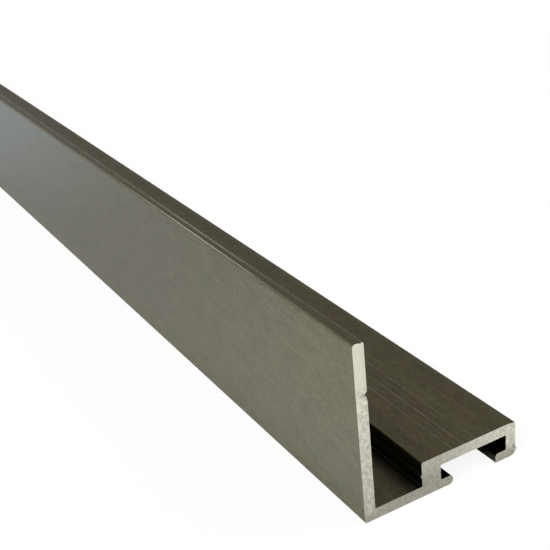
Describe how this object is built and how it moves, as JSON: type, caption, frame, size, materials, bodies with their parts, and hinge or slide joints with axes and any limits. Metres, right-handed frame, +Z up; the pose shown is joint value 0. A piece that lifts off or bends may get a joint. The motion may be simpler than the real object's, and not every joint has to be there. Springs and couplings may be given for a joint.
{
  "type": "aluminium extrusion profile",
  "caption": "Aluminium edge profile bar: a tall thin leg beside a low stepped channel, with a narrow panel pocket between them and a lipped slot open to the base.",
  "frame": {"origin": "middle of the base: the centre of the bounding box across and along, on its underside", "axes": "+X along the bar, +Y across it from the tall leg to the slotted channel, +Z up from the base along the leg"},
  "size_m": [1, 0.038, 0.04],
  "materials": {
    "anodised_aluminium": "satin bronze anodised, with raw saw-cut ends"
  },
  "bodies": {
    "root": {"profile_bar": "anodised_aluminium"}
  },
  "joints": []
}
